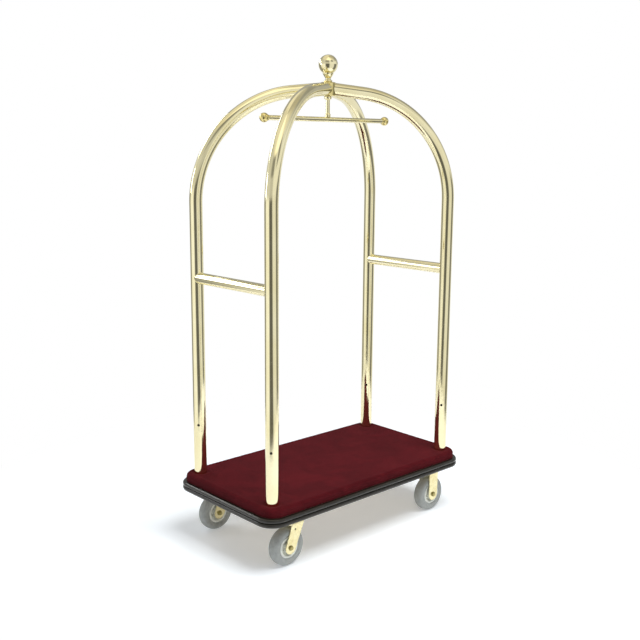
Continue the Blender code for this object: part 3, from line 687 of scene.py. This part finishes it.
def make_hanger():
    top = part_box("hanger_stem")[1].z
    low_rail, high_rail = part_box("hanger_rail")
    height, radius = middle("hanger_rail").z, half_size("hanger_rail").z
    collar = half_size("hanger_stem").x
    stem_radius = 0.0080
    outline = [
        (0, top), (collar - 0.002, top), (collar, top - 0.0015), (collar, top - 0.0095),
        (collar - 0.003, top - 0.0120), (stem_radius, top - 0.0135), (stem_radius, height + 0.024),
        (stem_radius + 0.0030, height + 0.020), (stem_radius + 0.0030, height + 0.0085),
        (0, height + 0.0085),
    ]
    stem = turned(outline, 0.0012, 64, closed=False)
    piece("hanger_post", stem, BRASS, replaces=["hanger_stem"])
    path = [(low_rail.x + (high_rail.x - low_rail.x) * k / 40, 0, height) for k in range(41)]
    bar = swept_tube(path, (0, 1, 0), radius)
    piece("hanger_bar", bar, BRASS, replaces=["hanger_rail"], weighted=False)
    for end, sx in ENDS.items():
        low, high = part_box(f"hanger_ball_{end}")
        outer = high.x if sx > 0 else -low.x
        ball_radius = half_size(f"hanger_ball_{end}").z
        centre = outer - ball_radius - 0.002
        start = degrees(asin(0.0110 / ball_radius))
        profile = [(0, ball_radius + 0.0015), (0.0030, ball_radius + 0.0010)]
        for k in range(33):
            a = radians(12 + (168 - start) * k / 32)
            profile.append((ball_radius * sin(a), ball_radius * cos(a)))
        last = profile[-1][1]
        neck = [(0.0108, 0.0012), (0.0112, 0.0035), (radius - CLEARANCE, 0.0048), (0, 0.0048)]
        profile += [(r, last - down) for r, down in neck]
        place = move(sx * centre, 0, height) @ turn(sx * 90, "Y")
        node = f"hanger_ball_{end}"
        piece(f"hanger_knob_{end}", lathe(profile, 64), TURNED_BRASS, replaces=[node], place=place)


# ---- deck

CARPET_ROUNDING = 0.016
CARPET_STEP = 0.0032
PILE_SINK = 0.0008  # keeps the tallest tufts inside the CAD carpet
FALLOFF = 2.718  # base of how the pile's tuck and lip fade out


def carpet_outline_point(x, y, half_x, half_y, corner):
    """Moves a point of a rectangle to its place in a rounded rectangle, and says which way is out."""
    inner_x, inner_y = half_x - corner, half_y - corner
    u, v = abs(x) - inner_x, abs(y) - inner_y
    if u > 0 and v > 0:
        size = hypot(u, v)
        reach = max(u, v)
        out = Vector((u / size, v / size, 0))
        px, py = inner_x + out.x * reach, inner_y + out.y * reach
    else:
        out = Vector((1, 0, 0)) if u > v else Vector((0, 1, 0))
        px, py = abs(x), abs(y)
    sx, sy = copysign(1, x), copysign(1, y)
    return Vector((sx * px, sy * py, 0)), Vector((sx * out.x, sy * out.y, 0))


def pile_height(x, y):
    """How far the pile stands above the mean: tufts, hollows, and a tuck round each leg."""
    tufts = 0.00028 * noise.noise(Vector((x * 260, y * 260, 0.0)))
    waves = 0.00055 * noise.noise(Vector((x * 13, y * 13, 5.0)))
    away = hypot(abs(x) - LEG.x, abs(y) - LEG.y) - TUBE_RADIUS
    tuck = -0.0022 * FALLOFF ** -((max(away, 0) / 0.0065) ** 2)
    lip = 0.0008 * FALLOFF ** -(((away - 0.014) / 0.007) ** 2)
    return tufts + waves + tuck + lip - PILE_SINK


def make_carpet():
    half_x, half_y = CARPET_HIGH.x - 0.0006, CARPET_HIGH.y - 0.0006
    corner = DECK_CORNER + 0.002
    flat_x, flat_y = half_x - CARPET_ROUNDING, half_y - CARPET_ROUNDING
    flat_corner = corner - CARPET_ROUNDING
    columns, rows = round(2 * flat_x / CARPET_STEP), round(2 * flat_y / CARPET_STEP)
    points, faces, outs = [], [], {}
    for i in range(columns + 1):
        for j in range(rows + 1):
            x, y = flat_x * (2 * i / columns - 1), flat_y * (2 * j / rows - 1)
            place, out = carpet_outline_point(x, y, flat_x, flat_y, flat_corner)
            points.append((place.x, place.y, CARPET_HIGH.z + pile_height(place.x, place.y)))
            if i in (0, columns) or j in (0, rows):
                outs[i, j] = place, out
    column = rows + 1
    for i in range(columns):
        for j in range(rows):
            a = i * column + j
            faces.append((a, a + column, a + column + 1, a + 1))
    rim = [(i, 0) for i in range(columns)] + [(columns, j) for j in range(rows)]
    rim += [(i, rows) for i in range(columns, 0, -1)] + [(0, j) for j in range(rows, 0, -1)]
    arc = [pi / 2 * k / 7 for k in range(1, 8)]
    drops = [(CARPET_ROUNDING * sin(a), CARPET_ROUNDING * (cos(a) - 1)) for a in arc]
    side_low = CARPET_LOW.z + 0.0005
    side_top = CARPET_HIGH.z - CARPET_ROUNDING
    drops += [(CARPET_ROUNDING, -CARPET_ROUNDING - (side_top - side_low) * k / 5) for k in range(1, 6)]
    previous = [i * column + j for i, j in rim]
    for reach, drop in drops:
        ring = []
        for i, j in rim:
            place, out = outs[i, j]
            bulge = 0.0005 * noise.noise(Vector((place.x * 220, place.y * 220, drop * 220)))
            ring.append(len(points))
            far = reach + bulge - CLEARANCE
            points.append((place.x + out.x * far, place.y + out.y * far, CARPET_HIGH.z - PILE_SINK + drop))
        for k in range(len(ring)):
            n = (k + 1) % len(ring)
            faces.append((previous[k], ring[k], ring[n], previous[n]))
        previous = ring
    mesh = fix_normals(mesh_from(points, faces))
    carpet = piece("carpet_cover", mesh, CARPET, replaces=["carpet"], sharp=180, weighted=False)


def make_bumper():
    """The vinyl bumper: a full upper rib, a groove and a full lower rib, butted together behind."""
    tuft_gap_shade = BUMPER_HIGH.x - DECK_HIGH.x
    half = (BUMPER_HIGH.z - BUMPER_LOW.z) / 2
    web, fullness = 0.005, 0.62
    outline = [(CLEARANCE, -half)]
    for centre in (-half / 2, half / 2):
        for k in range(17):
            a = pi * k / 16 - pi / 2
            out = web + (tuft_gap_shade - web) * max(cos(a), 0) ** fullness
            outline.append((out, centre + half / 2 * sin(a)))
    outline.append((CLEARANCE, half))
    path = rounded_path(DECK_HIGH.x, DECK_HIGH.y, DECK_CORNER, 24, 0.02)
    mesh = ring_sweep(outline, path, (BUMPER_HIGH.z + BUMPER_LOW.z) / 2)
    piece("bumper_strip", mesh, VINYL, replaces=["bumper"], sharp=50, weighted=False)


def hex_bolt_head(across, height, flange=0.0):
    """A six-sided head, its seat at z = 0, with a chamfered top and a washer face."""
    radius = across / 2 / cos(pi / 6)
    seat = max(flange, across / 2 * 0.94)
    chamfer = [(radius * 0.80, height), (radius * 0.97, height * 0.88), (radius, height * 0.80)]
    body = lathe([(0, height), *chamfer, (radius, 0.0006), (0, 0.0006)], 6)
    obj = new_object("head", body)
    add_bevel(obj, 0.00025)
    washer = turned([(0, 0.0008), (seat, 0.0008), (seat, 0), (0, 0)], 0.0002, 40, closed=False)
    return merged(baked(obj), washer)


def threaded_end(radius, low, high):
    """A short length of thread, with a chamfered end at the top."""
    pitch = 0.0014
    root = radius * 0.88
    turns = max(1, round((high - low) / pitch))
    outline = [(0, high), (radius * 0.80, high)]
    for k in range(turns):
        top = high - (high - low) * k / turns
        outline += [(root, top - pitch * 0.05), (radius, top - pitch * 0.5), (root, top - pitch * 0.95)]
    return lathe(outline + [(root, low), (0, low)], 32)


def make_underside():
    """The nuts under the legs, and the screws that hold the casters and the panel to the board."""
    for name in CORNERS:
        node = f"leg_nut_{name}"
        low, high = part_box(node)
        centre = middle(node)
        head = hex_bolt_head(0.0187, high.z - low.z, flange=half_size(node).x)
        stud_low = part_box(f"leg_spigot_{name}")[0].z
        stud = threaded_end(0.0058, 0.0, high.z - stud_low)
        mesh = merged(head, stud)
        place = move(centre.x, centre.y, high.z) @ turn(180, "X")
        piece(f"leg_flange_nut_{name}", mesh, ZINC, replaces=[node], place=place)
    screw = hex_bolt_head(0.012, 0.0052, flange=0.0078)
    for name in CORNERS:
        centre = middle(f"caster_plate_{name}")
        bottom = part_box(f"caster_plate_{name}")[0].z
        places = [(centre.x + dx, centre.y + dy) for dx, dy in PLATE_SCREWS]
        mesh = merged(*[(screw, move(x, y, bottom) @ turn(180, "X")) for x, y in places])
        piece(f"plate_screws_{name}", mesh, ZINC)
    small = hex_bolt_head(0.008, 0.0030, flange=0.0062)
    places = [(x, y) for x in (-0.24, 0.0, 0.24) for y in (-0.16, 0.16)]
    mesh = merged(*[(small, move(x, y, DECK_LOW.z) @ turn(180, "X")) for x, y in places])
    piece("panel_screws", mesh, ZINC)


# ---- casters


def fork_edge(leg_top, top_x, axle, end_radius, sign):
    """Gives the x of one edge of a fork's leg at a height: a straight line that runs into a round end."""
    axle_x, axle_z = axle
    dx, dz = top_x - axle_x, leg_top - axle_z
    angle = atan2(dz, dx) - sign * acos(end_radius / hypot(dx, dz))
    touch_x, touch_z = axle_x + end_radius * cos(angle), axle_z + end_radius * sin(angle)

    def edge(z):
        if z <= touch_z:
            return axle_x + sign * sqrt(max(end_radius**2 - (z - axle_z) ** 2, 0))
        return touch_x + (top_x - touch_x) * min((z - touch_z) / (leg_top - touch_z), 1)

    return edge


def fork_mesh(leg_top, top_edges, axle, end_radius, bend, holes):
    """A fork pressed from sheet: one strip that runs up one leg, over the top and down the other."""
    top_middle = leg_top - 0.0017  # leaves the sheet just under the CAD fork's top
    middle_y = FORK_HALF - FORK_SHEET / 2
    low_edge = fork_edge(leg_top, top_edges[0], axle, end_radius, -1)
    high_edge = fork_edge(leg_top, top_edges[1], axle, end_radius, 1)
    path = [(middle_y, axle[1] - end_radius * cos(pi * max(k, 0.02) / 20)) for k in range(20)]
    start = axle[1] + end_radius
    path += [(middle_y, start + (top_middle - bend - start) * k / 12) for k in range(13)]
    arc = [pi / 2 * k / 8 for k in range(1, 9)]
    path += [(middle_y - bend + bend * cos(a), top_middle - bend + bend * sin(a)) for a in arc]
    path += [((middle_y - bend) * (1 - k / 6), top_middle) for k in range(1, 7)]
    path += [(-y, z) for y, z in reversed(path[:-1])]
    across = 24
    points, faces = [], []
    for y, z in path:
        low, high = low_edge(z), high_edge(z)
        points += [(low + (high - low) * k / across, y, z) for k in range(across + 1)]
    for i in range(len(path) - 1):
        for k in range(across):
            a = i * (across + 1) + k
            faces.append((a, a + 1, a + across + 2, a + across + 1))
    obj = new_object("fork", fix_normals(mesh_from(points, faces)))
    solidify = obj.modifiers.new("sheet", "SOLIDIFY")
    solidify.thickness = FORK_SHEET
    solidify.offset = 0
    solidify.use_even_offset = True
    add_bevel(obj, 0.0005, 50)
    cutters = []
    reach = 0.04
    for radius, x, z in holes:
        cutter = lathe([(0, reach), (radius, reach), (radius, -reach), (0, -reach)], 32)
        cutter.transform(move(x, 0, z) @ turn(90, "X"))
        cutters.append(cutter)
    return bored(baked(obj), cutters)


def caster_plate(node):
    size = half_size(node)
    outline = [(place.x, place.y) for place, out in rounded_path(size.x, size.y, 0.010, 8, 0.05)]
    hole = 0.0044
    holes = [[(x + hole * c, y + hole * s) for c, s in round_way(32)] for x, y in PLATE_SCREWS]
    mesh = plate([outline, *holes], 2 * size.z)
    mesh.transform(move(*middle(node)))
    return mesh


def tyre_mesh():
    """A solid rubber tyre: round shoulders, a crowned tread and a moulded line on each side."""
    half, tuft_gap_shade = TYRE_HALF, WHEEL_RADIUS - RIM_RADIUS - 0.0002
    side = [
        (0.0, half - 0.0042), (0.0028, half - 0.0042), (0.0040, half - 0.0026),
        (0.0100, half - 0.0008), (0.0160, half), (0.0225, half - 0.0020), (0.0280, half - 0.0078),
        (0.0303, half - 0.0140), (tuft_gap_shade, half - 0.0195),
    ]
    outline = [(WHEEL_RADIUS - tuft_gap_shade + r, z) for r, z in side]
    outline += [(r, -z) for r, z in reversed(outline)]
    return turned(outline, 0.0030, 128, corner_steps=5)


def core_mesh():
    """The wheel's moulded core: a broad coned rim, a deep dish with ribs, and a hub barrel."""
    half = half_size("wheel_hub_front_left").y
    rim = TYRE_HALF - 0.0042
    face = [
        (0.0081, half), (0.0150, half), (0.0168, half - 0.0012), (0.0186, 0.0082), (0.0250, 0.0068),
        (0.0275, 0.0085), (0.0335, rim - 0.0020), (0.0350, rim + 0.0002), (0.0405, rim + 0.0010),
        (0.0422, rim + 0.0004), (0.0430, rim - 0.0012), (RIM_RADIUS, rim - 0.0012),
    ]
    outline = face + [(r, -z) for r, z in reversed(face)]
    body = turned(outline, 0.0014, 128)
    size, taper, reach, rise = (0.0150, 0.0032, 0.0080), 0.7, 0.0235, 0.0090
    ribs = []
    for k in range(6):
        for sign in (1, -1):
            rib = bpy.data.meshes.new("rib")
            work = bmesh.new()
            bmesh.ops.create_cube(work, size=1)
            bmesh.ops.scale(work, verts=work.verts, vec=size)
            outer = [v for v in work.verts if v.co.z * sign > 0]
            bmesh.ops.scale(work, verts=outer, vec=(1, taper, 1))
            edges = list(work.edges)
            bmesh.ops.bevel(work, geom=edges, offset=0.0005, segments=2, affect="EDGES", profile=0.5)
            work.to_mesh(rib)
            work.free()
            ribs.append((rib, turn(60 * k + 30, "Z") @ move(reach, 0, sign * rise)))
    return merged(body, *ribs)


def seal_mesh():
    """The pressed dust cap round the axle on one side of a wheel."""
    outline = [(0.0083, 0.0), (0.0083, 0.0008), (0.0128, 0.0010), (0.0140, 0.0002), (0.0140, 0.0)]
    return turned(outline, 0.0003, 48)


def make_wheel(name, centre):
    body = f"wheel_{name}"
    lay = move(*centre) @ turn(90, "X")
    tyre, core = f"tyre_{name}", f"wheel_hub_{name}"
    piece(f"wheel_tyre_{name}", tyre_mesh(), RUBBER, body, [tyre], place=lay, weighted=False)
    piece(f"wheel_core_{name}", core_mesh(), MOULDED, body, [core], place=lay)
    half = half_size("wheel_hub_front_left").y
    caps = merged((seal_mesh(), move(z=half)), (seal_mesh(), move(z=-half) @ turn(180, "X")))
    piece(f"wheel_seals_{name}", caps, ZINC, body, place=lay)


def make_axle(name, centre, sy, body):
    """The bolt's head faces out from the cart, and the locking nut in."""
    reach = sy * (FORK_HALF + 0.0002)
    head = hex_bolt_head(0.016, 0.0062, flange=0.0105)
    place = move(centre.x, centre.y + reach, centre.z) @ turn(-sy * 90, "X")
    piece(f"axle_head_{name}", head, CHROMATED, body, [f"axle_bolt_{name}"], place=place)
    nut = hex_bolt_head(0.016, 0.0068, flange=0.0105)
    ring = [(0.0046, 0.0064), (0.0046, 0.0090), (0.0070, 0.0088), (0.0074, 0.0064)]
    end = threaded_end(0.0048, 0.0060, 0.0118)
    mesh = merged(nut, turned(ring, 0.0006, 40), end)
    place = move(centre.x, centre.y - reach, centre.z) @ turn(sy * 90, "X")
    piece(f"axle_locknut_{name}", mesh, CHROMATED, body, [f"axle_nut_{name}"], place=place)


def make_swivel_head(name, centre):
    """The race and kingpin over a swivel fork."""
    place = move(centre.x, centre.y)
    low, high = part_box(f"swivel_race_{name}")
    radius = half_size(f"swivel_race_{name}").x
    outline = [
        (0.0120, high.z), (radius - 0.003, high.z), (radius, high.z - 0.004),
        (radius, low.z + 0.001), (radius - 0.0010, low.z), (radius - 0.0028, low.z),
        (radius - 0.0034, high.z - 0.005), (0.0120, high.z - 0.005),
    ]
    race = turned(outline, 0.0012, 80)
    piece(f"swivel_cup_{name}", race, PLATED, replaces=[f"swivel_race_{name}"], place=place)
    pin_low, pin_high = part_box(f"kingpin_{name}")
    pin = [
        (0, pin_high.z), (0.0070, pin_high.z), (0.0070, pin_low.z + 0.009),
        (0.0120, pin_low.z + 0.009), (0.0122, pin_low.z + 0.005), (0.0085, pin_low.z + 0.0008),
        (0.0040, pin_low.z), (0, pin_low.z),
    ]
    kingpin = turned(pin, 0.0010, 48, closed=False)
    piece(f"kingpin_rivet_{name}", kingpin, ZINC, replaces=[f"kingpin_{name}"], place=place)


def make_casters():
    for name, (sx, sy) in CORNERS.items():
        node = f"caster_plate_{name}"
        centre = middle(node)
        piece(f"mount_plate_{name}", caster_plate(node), PLATED, replaces=[node])
        axle = middle(f"tyre_{name}")
        hub = (axle.x - centre.x, axle.z)
        holes = [(AXLE_HOLE, *hub)]
        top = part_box(f"fork_{name}")[1].z
        swivels = sx < 0
        body = f"swivel_{name}" if swivels else "cart"
        if swivels:
            holes.append((0.0042, -0.018, 0.144))
            mesh = fork_mesh(top, (-0.029, 0.029), hub, end_radius=0.0245, bend=0.008, holes=holes)
            disc = [(0, top), (0.030, top), (0.033, top - 0.0012), (0.033, top - 0.0035), (0, top - 0.0035)]
            cap = turned(disc, 0.0008, 80, closed=False)
            mesh = merged(mesh, cap)
        else:
            mesh = fork_mesh(top, (-0.024, 0.030), hub, end_radius=0.026, bend=0.007, holes=holes)
        place = move(centre.x, centre.y)
        piece(f"caster_fork_{name}", mesh, PLATED, body, [f"fork_{name}"], place=place)
        if swivels:
            make_swivel_head(name, centre)
        make_wheel(name, axle)
        make_axle(name, axle, sy, body)


# ---- studio


# What the polished parts see round the cart, ring over ring: (degrees from +X, brightness)
WALLS = [
    (0, 0.90), (70, 0.90), (84, 0.32), (126, 0.32), (138, 1.05), (186, 1.10), (202, 0.14),
    (236, 0.14), (250, 0.88), (296, 0.88), (306, 0.22), (340, 0.22), (350, 0.90), (360, 0.90),
]
UPPER_WALLS = [
    (0, 0.48), (20, 0.45), (38, 0.30), (70, 0.42), (90, 0.60), (118, 0.90), (132, 0.80),
    (150, 0.70), (188, 0.72), (204, 0.62), (234, 0.62), (248, 0.95), (296, 0.95), (325, 0.90),
    (340, 0.75), (352, 0.52), (360, 0.48),
]
BEAM = [
    (0, 0.34), (20, 0.36), (38, 0.45), (60, 0.45), (87, 0.36), (110, 0.55), (134, 0.60),
    (155, 0.68), (176, 0.72), (195, 0.42), (205, 0.30), (232, 0.30), (242, 0.85), (262, 0.85),
    (272, 0.28), (284, 0.28), (298, 0.85), (320, 0.70), (338, 0.40), (360, 0.34),
]
CEILING = [
    (0, 0.60), (28, 0.66), (50, 1.12), (80, 1.18), (100, 0.92), (130, 1.10), (165, 1.00),
    (190, 1.20), (214, 1.70), (256, 1.70), (285, 1.10), (305, 1.00), (330, 0.66), (360, 0.60),
]
BRIGHTEST = 1.7
# Where each ring gives way to the next, as the sine of the angle over the horizon
WALL_EDGE = (0.04, 0.15)
BEAM_EDGE = (0.40, 0.46)
CEILING_EDGE = (0.66, 0.76)
CEILING_TINT = (0.84, 0.79, 0.66, 1)
# Where the paper under the cart fades out, for the polished parts and for the camera
PAPER_EDGE = (1.75, 2.10)
WHITE_EDGE = (0.95, 1.70)
WHITE = (1, 1, 1, 1)
PAPER = (0.90, 0.945, 0.985, 1)
MIRRORED_PAPER = (0.90, 0.90, 0.90, 1)
WALL_TINT = (1, 0.995, 0.965, 1)
AMBIENT = (0.94, 0.97, 1.0, 1)
AMBIENT_LEVEL = 0.27
PAPER_GLOW = 0.235


class Studio(Tree):
    """The nodes of what stands round the cart."""

    def background(self, tint, strength):
        return self.node("Background", {"Color": tint, "Strength": strength})

    def blend(self, factor, first, second):
        return self.node("MixShader", {0: factor, 1: first, 2: second})

    def fade(self, value, start, end):
        inputs = {"Value": value, "From Min": start, "From Max": end}
        return self.node("MapRange", inputs, interpolation_type="SMOOTHSTEP")

    def walls(self, place, table):
        """The brightness of a ring of walls in the direction of a place or a way."""
        split = self.node("SeparateXYZ", {0: place}).node.outputs
        angle = self.node("Math", {0: split["Y"], 1: split["X"]}, operation="ARCTAN2")
        turned = self.node("Math", {0: angle, 1: 2 * pi, 2: 0}, operation="WRAP")
        share = self.node("Math", {0: turned, 1: 2 * pi}, operation="DIVIDE")
        level = self.node("FloatCurve", {"Value": share})
        curve = level.node.mapping.curves[0]
        while len(curve.points) < len(table):
            curve.points.new(0.5, 0.5)
        for point, (direction, brightness) in zip(curve.points, table):
            point.location = (direction / 360, brightness / BRIGHTEST)
            point.handle_type = "VECTOR"
        level.node.mapping.update()
        return self.node("Math", {0: level, 1: BRIGHTEST}, operation="MULTIPLY")


def make_floor():
    """White paper. Past its edge the camera sees white, and the polished parts see the studio."""
    reach = 60
    corners = [(-reach, -reach, 0), (reach, -reach, 0), (reach, reach, 0), (-reach, reach, 0)]
    mesh = mesh_from(corners, [(0, 1, 2, 3)])
    floor = new_object("floor", mesh)
    material = bpy.data.materials.new("studio_paper")
    material.use_nodes = True
    tree = Studio(material.node_tree)
    paper = tree.tree.nodes["Principled BSDF"]
    place = tree.node("TexCoord", output="Object")
    distance = tree.node("VectorMath", {0: place}, output="Value", operation="LENGTH")
    glossy = tree.node("LightPath", output="Is Glossy Ray")
    inputs = {0: glossy, 6: PAPER, 7: MIRRORED_PAPER}
    tone = tree.node("Mix", inputs, output=2, data_type="RGBA")
    settings = {"Base Color": tone, "Roughness": 0.9, "Specular IOR Level": 0.0}
    settings |= {"Emission Color": WHITE, "Emission Strength": PAPER_GLOW}
    for key, value in settings.items():
        tree.feed(paper.inputs[key], value)
    white = tree.node("Emission", {"Color": WHITE})
    walls = tree.walls(place, WALLS)
    studio = tree.node("Emission", {"Color": WALL_TINT, "Strength": walls})
    seen = tree.blend(tree.fade(distance, *WHITE_EDGE), paper.outputs[0], white)
    mirrored = tree.blend(tree.fade(distance, *PAPER_EDGE), paper.outputs[0], studio)
    tree.feed(tree.tree.nodes["Material Output"].inputs["Surface"], tree.blend(glossy, seen, mirrored))
    mesh.materials.append(material)


def make_world():
    """White behind the cart, and for the polished parts: walls with dark gaps, and a ceiling."""
    world = bpy.data.worlds.new("studio")
    bpy.context.scene.world = world
    world.use_nodes = True
    world.node_tree.nodes.clear()
    tree = Studio(world.node_tree)
    way = tree.node("TexCoord", output="Generated")
    height = tree.node("SeparateXYZ", {0: way}, output="Z")
    upper = tree.fade(height, *WALL_EDGE)
    beam = tree.fade(height, *BEAM_EDGE)
    sides = tree.node("Mix", {0: upper, 2: tree.walls(way, WALLS), 3: tree.walls(way, UPPER_WALLS)})
    sides = tree.node("Mix", {0: beam, 2: sides, 3: tree.walls(way, BEAM)})
    round_about = tree.background(WALL_TINT, sides)
    overhead = tree.background(CEILING_TINT, tree.walls(way, CEILING))
    studio = tree.blend(tree.fade(height, *CEILING_EDGE), round_about, overhead)
    rays = tree.node("LightPath").node.outputs
    unseen = tree.blend(rays["Is Glossy Ray"], tree.background(AMBIENT, AMBIENT_LEVEL), studio)
    surface = tree.blend(rays["Is Camera Ray"], unseen, tree.background(WHITE, 1.0))
    tree.node("OutputWorld", {"Surface": surface}, output=None)


def add_softbox(name, place, target, width, height, power, mirrored):
    data = bpy.data.lights.new(name, "AREA")
    data.shape = "RECTANGLE"
    data.size, data.size_y = width, height
    data.energy = power
    obj = new_object(name, data)
    obj.location = place
    obj.rotation_euler = (Vector(target) - Vector(place)).to_track_quat("-Z", "Y").to_euler()
    obj.visible_glossy = mirrored


def make_lights():
    add_softbox("overhead", (0.2, -1.5, 4.1), (0, 0, 0.2), 2.6, 2.4, 160, False)
    add_softbox("left_box", (-3.0, 3.2, 2.1), (0, 0, 0.6), 0.9, 1.1, 14, True)
    add_softbox("left_strip", (-0.7, 3.4, 3.1), (0, 0, 0.2), 2.4, 0.8, 30, True)
    add_softbox("right_strip", (0.4, -4.6, 1.8), (0, 0, 0.7), 1.0, 2.4, 8, False)


def make_camera():
    """At head height, off the cart's rear right corner, looking a little down."""
    data = bpy.data.cameras.new("camera")
    data.sensor_width = 36
    data.lens = 51.44
    obj = new_object("camera", data)
    eye = (-2.522, -2.699, 1.570)
    heading, pitch, roll = 0.7447, 0.1891, 0.0070
    forward = Vector((sin(heading) * cos(pitch), cos(heading) * cos(pitch), -sin(pitch)))
    level = Vector((cos(heading), -sin(heading), 0))
    upright = level.cross(forward)
    right = level * cos(roll) + upright * sin(roll)
    up = upright * cos(roll) - level * sin(roll)
    axes = Matrix((right, up, -forward)).transposed()
    obj.matrix_world = move(*eye) @ axes.to_4x4()
    data.clip_start, data.clip_end = 0.05, 200
    bpy.context.scene.camera = obj


dress_cad_nodes()
make_hoops()
make_end_rails()
make_lock_screws()
make_crown()
make_finial()
make_hanger()
make_carpet()
make_bumper()
make_underside()
make_casters()
make_floor()
make_world()
make_lights()
make_camera()
bpy.context.scene.view_settings.view_transform = "Standard"
